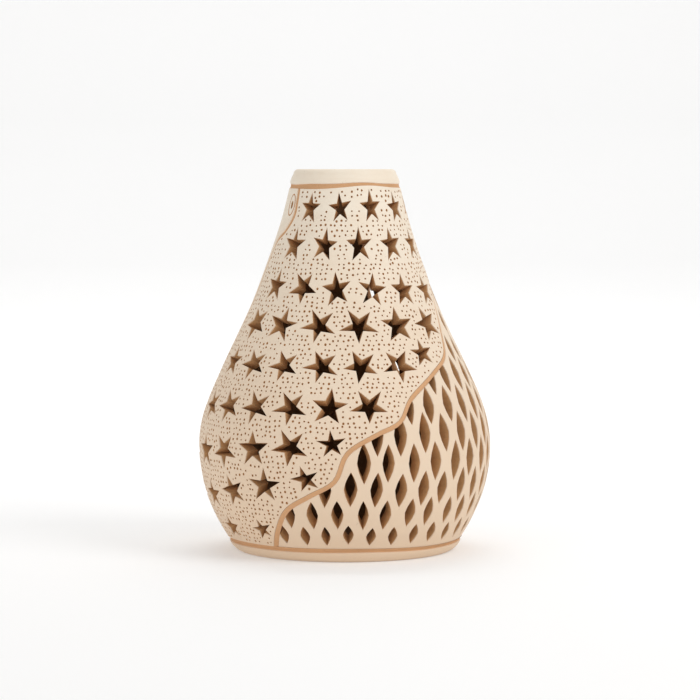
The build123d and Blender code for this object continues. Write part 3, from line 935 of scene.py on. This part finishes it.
def ring_groove(wide, tall, place):
    """A shallow oval ring to incise, triangular in section."""
    clear_selection()
    bpy.ops.mesh.primitive_torus_add(major_segments=28, minor_segments=6, major_radius=MM,
                                     minor_radius=0.1 * MM)
    ob = bpy.context.object
    for v in ob.data.vertices:
        r = math.hypot(v.co.x, v.co.y)
        out = (r - MM) / (0.1 * MM) * 0.32
        ux, uy = v.co.x / r, v.co.y / r
        v.co = Vector(((wide + out) * ux, (tall + out) * uy, v.co.z / (0.1 * MM) * 0.5)) * MM
    paint_faces(ob, finishes(), lambda c, n: OCHRE)
    wrap(ob, *place)
    return ob


class VASE_OT_collar(bpy.types.Operator):
    """Turn the collar with its rounded lip, and the cut line under it"""
    bl_idname = "vase.collar"
    bl_label = "Collar"

    def execute(self, context):
        sizes = context.scene.vase_sizes
        lip = body_radius(WALL_TOP) - COLLAR_STEP
        outline = [(lip - 0.45, COLLAR_BOTTOM), (lip - 0.06, COLLAR_BOTTOM + 0.3),
                   (lip - 0.02, COLLAR_BOTTOM + 0.9)]
        for k in range(1, 6):
            t = k / 5.0
            outline.append((lip - LIP_INSET * t ** 1.4,
                            COLLAR_BOTTOM + 0.9 + (HEIGHT - LIP_DROP - COLLAR_BOTTOM - 0.9) * t))
        mid, half = 0.5 * (MOUTH_R + lip - LIP_INSET), 0.5 * (lip - LIP_INSET - MOUTH_R)
        for k in range(1, 13):
            a = math.pi * k / 12.0
            outline.append((mid + half * math.cos(a), HEIGHT - LIP_DROP + LIP_DROP * math.sin(a)))
        outline.append((MOUTH_R, COLLAR_BOTTOM))
        collar = lathe("neck_collar_body", outline, sizes.spin_steps // 2)
        paint_faces(collar, finishes(), lambda c, n: INNER_SHADED if math.hypot(c.x, c.y) < (MOUTH_R + 0.25) * MM
                    and c.z < (HEIGHT - LIP_DROP) * MM else SLIP)
        finish_piece(collar, "neck_collar_clay", ["neck_collar"])
        top = body_radius(WALL_TOP)
        outline = [(top - 0.15, WALL_TOP), (top - 0.62, WALL_TOP + 0.55), (top - 0.85, COLLAR_BOTTOM),
                   (MOUTH_R, COLLAR_BOTTOM), (MOUTH_R, WALL_TOP)]
        band = lathe("neck_band", outline, sizes.spin_steps // 2)
        paint_faces(band, finishes(), lambda c, n: OCHRE)
        finish_piece(band, "neck_line_clay", ["neck_line"])
        return {"FINISHED"}


class VASE_OT_foot(bpy.types.Operator):
    """Turn the foot ring, the cut line above it and the floor"""
    bl_idname = "vase.foot"
    bl_label = "Foot"

    def execute(self, context):
        sizes = context.scene.vase_sizes
        foot = body_radius(FOOT_TOP)
        base = body_radius(0) - BASE_INSET
        outline = [(FLOOR_R, 0.0), (base, 0.0), (base + 1.6, 0.18), (base + 3.0, 0.9), (foot - 1.25, 2.4),
                   (foot - 0.45, 3.7), (foot - 0.12, FOOT_TOP - 0.3), (foot - 0.5, FOOT_TOP),
                   (FLOOR_R, FOOT_TOP)]
        ring = lathe("foot_ring_body", outline, sizes.spin_steps)
        paint_faces(ring, finishes(), lambda c, n: CUT if n.z < -0.98 or skin_depth(c)[2] > 3.4 else SLIP)
        finish_piece(ring, "foot_ring_clay", ["foot_ring"])
        top = body_radius(WALL_BOTTOM)
        outline = [(FLOOR_R, FOOT_TOP), (foot - 0.55, FOOT_TOP), (foot - 0.62, FOOT_TOP + 0.5),
                   (top - 0.25, WALL_BOTTOM), (FLOOR_R, WALL_BOTTOM)]
        band = lathe("foot_band", outline, sizes.spin_steps)
        paint_faces(band, finishes(), lambda c, n: OCHRE if skin_depth(c)[2] < 3.0 else INNER_SHADED)
        finish_piece(band, "foot_line_clay", ["foot_line"])
        floor = lathe("floor_body", [(0.0, FLOOR_LIFT), (FLOOR_R * 0.5, FLOOR_LIFT + 0.25),
                                     (FLOOR_R, FLOOR_LIFT), (FLOOR_R, WALL_BOTTOM),
                                     (FLOOR_R * 0.6, WALL_BOTTOM - 0.5),
                                     (FLOOR_R * 0.2, WALL_BOTTOM - 0.25), (0.0, WALL_BOTTOM)], 96)
        paint_faces(floor, finishes(), lambda c, n: INNER_SHADED)
        finish_piece(floor, "floor_slab_clay", ["floor_slab"])
        return {"FINISHED"}


class VASE_OT_stage(bpy.types.Operator):
    """Set the camera, the soft lights and the pale sweep"""
    bl_idname = "vase.stage"
    bl_label = "Stage"

    def execute(self, context):
        scene = context.scene
        scene.view_settings.view_transform = "Standard"
        cam = bpy.data.cameras.new("camera")
        eye = bpy.data.objects.new("camera", cam)
        scene.collection.objects.link(eye)
        eye.location = CAMERA_PLACE
        eye.rotation_euler = (math.radians(90.0 - CAMERA_TILT), 0.0, 0.0)
        cam.lens, cam.sensor_width, cam.shift_x = CAMERA_LENS, CAMERA_SENSOR, CAMERA_SHIFT
        cam.clip_end = 20.0
        scene.camera = eye
        world = bpy.data.worlds.new("studio")
        world.use_nodes = True
        background = world.node_tree.nodes["Background"]
        background.inputs["Color"].default_value = (1.0, 0.995, 0.985, 1.0)
        background.inputs["Strength"].default_value = WORLD_STRENGTH
        scene.world = world
        for name, place, size, watts, tint, aim in LIGHTS:
            light = bpy.data.lights.new(name, "AREA")
            light.shape, light.size, light.energy, light.color = "DISK", size, watts, tint
            lamp = bpy.data.objects.new(name, light)
            scene.collection.objects.link(lamp)
            lamp.location = place
            lamp.rotation_euler = (Vector(aim) - Vector(place)).to_track_quat("-Z", "Y").to_euler()
        pale_sweep()
        return {"FINISHED"}


def pale_sweep():
    """A floor that curves up into a backdrop."""
    clear_selection()
    bpy.ops.mesh.primitive_plane_add(size=6.0, location=(0, -1.2, 0))
    ob = bpy.context.object
    ob.name = "pale_sweep"
    edit_mode(ob)
    pick(ob, lambda v: v.co.y > 0)
    extrude_by((0, 0.6, 0.05))
    for step in ((0, 0.5, 0.2), (0, 0.35, 0.35), (0, 0.15, 0.5), (0, 0.0, 2.6)):
        extrude_by(step)
    bpy.ops.object.mode_set(mode="OBJECT")
    only(ob)
    bpy.ops.object.transform_apply(location=True)
    bpy.ops.object.shade_smooth()
    mat = bpy.data.materials.new("Pale paper")
    mat.use_nodes = True
    n = Nodes(mat.node_tree)
    where = n.add("ShaderNodeTexCoord").outputs["Object"]
    shader = mat.node_tree.nodes["Principled BSDF"]
    tone = n.mix(n.noise(where, 3.0, 2.0), (0.72, 0.72, 0.72, 1.0), (0.74, 0.74, 0.74, 1.0))
    mat.node_tree.links.new(tone, shader.inputs["Base Color"])
    shader.inputs["Roughness"].default_value = 0.9
    shader.inputs["Emission Color"].default_value = (1.0, 1.0, 1.0, 1.0)
    shader.inputs["Emission Strength"].default_value = PAPER_GLOW
    ob.data.materials.append(mat)
    return ob


class VASE_PT_panel(bpy.types.Panel):
    """Sizes, colours and steps of the vase"""
    bl_idname = "VASE_PT_panel"
    bl_label = "Pierced Clay Vase"
    bl_space_type = "VIEW_3D"
    bl_region_type = "UI"
    bl_category = "Clay Vase"

    def draw(self, context):
        for group in (context.scene.vase_sizes, context.scene.vase_colours):
            box = self.layout.box()
            for key in group.__annotations__:
                box.prop(group, key)
        for step in STEPS:
            self.layout.operator(step.bl_idname)


STEPS = (VASE_OT_stage, VASE_OT_throw_wall, VASE_OT_cut_lines, VASE_OT_star_field, VASE_OT_lattice_field,
         VASE_OT_figure_field, VASE_OT_collar, VASE_OT_foot)
CLASSES = (VaseSizes, VaseColours) + STEPS + (VASE_PT_panel,)


def register():
    for cls in CLASSES:
        bpy.utils.register_class(cls)
    bpy.types.Scene.vase_sizes = bpy.props.PointerProperty(type=VaseSizes)
    bpy.types.Scene.vase_colours = bpy.props.PointerProperty(type=VaseColours)


def unregister():
    del bpy.types.Scene.vase_colours
    del bpy.types.Scene.vase_sizes
    for cls in reversed(CLASSES):
        bpy.utils.unregister_class(cls)


def main():
    register()
    bpy.ops.vase.stage()
    bpy.ops.vase.throw_wall()
    bpy.ops.vase.cut_lines()
    bpy.ops.vase.star_field()
    bpy.ops.vase.lattice_field()
    bpy.ops.vase.figure_field()
    bpy.ops.vase.collar()
    bpy.ops.vase.foot()
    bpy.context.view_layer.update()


if __name__ == "__main__":
    main()
